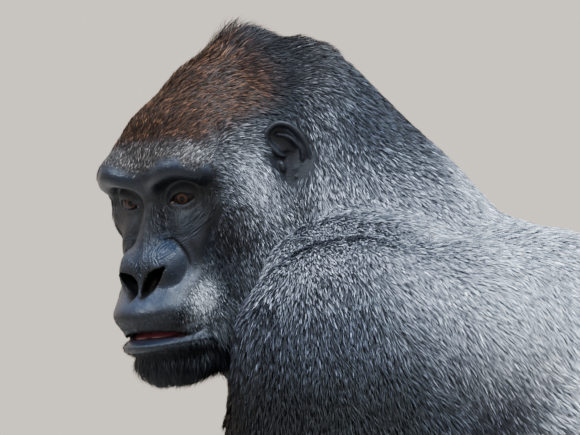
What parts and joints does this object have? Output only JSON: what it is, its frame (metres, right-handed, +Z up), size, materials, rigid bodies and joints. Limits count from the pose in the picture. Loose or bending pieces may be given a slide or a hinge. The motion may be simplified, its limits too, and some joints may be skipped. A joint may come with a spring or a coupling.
{
  "type": "standing silverback gorilla",
  "caption": "Life-size silverback gorilla standing on its knuckles and soles, head turned to its left and lowered, lips slightly parted.",
  "frame": {"origin": "on the floor, under the middle of the animal's bounding box", "axes": "+Z up, -Y the way the body faces, +X the animal's left"},
  "size_m": [0.7586, 1.0964, 1.2093],
  "materials": {
    "coat_black": "short dark coat over flesh, matte",
    "coat_grey": "grizzled grey coat over flesh, matte",
    "coat_silver": "silver-grey saddle coat over flesh, matte",
    "bare_skin": "bare blue-black skin with a soft sheen",
    "eye_brown": "wet red-brown eye",
    "tongue_pink": "moist pink tongue"
  },
  "bodies": {
    "root": {"belly": "coat_silver", "chest": "coat_grey", "ear_left": "bare_skin", "ear_right": "bare_skin", "eye_left": "eye_brown", "eye_right": "eye_brown", "finger_1_left": "bare_skin", "finger_1_right": "bare_skin", "finger_2_left": "bare_skin", "finger_2_right": "bare_skin", "finger_3_left": "bare_skin", "finger_3_right": "bare_skin", "finger_4_left": "bare_skin", "finger_4_right": "bare_skin", "foot_left": "bare_skin", "foot_right": "bare_skin", "forearm_left": "coat_black", "forearm_right": "coat_black", "great_toe_left": "bare_skin", "great_toe_right": "bare_skin", "hand_left": "bare_skin", "hand_right": "bare_skin", "head": "coat_grey", "hips": "coat_silver", "neck": "coat_grey", "shank_left": "coat_black", "shank_right": "coat_black", "shoulder_left": "coat_grey", "shoulder_right": "coat_grey", "thigh_left": "coat_silver", "thigh_right": "coat_silver", "thumb_left": "bare_skin", "thumb_right": "bare_skin", "toe_1_left": "bare_skin", "toe_1_right": "bare_skin", "toe_2_left": "bare_skin", "toe_2_right": "bare_skin", "toe_3_left": "bare_skin", "toe_3_right": "bare_skin", "toe_4_left": "bare_skin", "toe_4_right": "bare_skin", "tongue": "tongue_pink", "upper_arm_left": "coat_black", "upper_arm_right": "coat_black"}
  },
  "joints": []
}
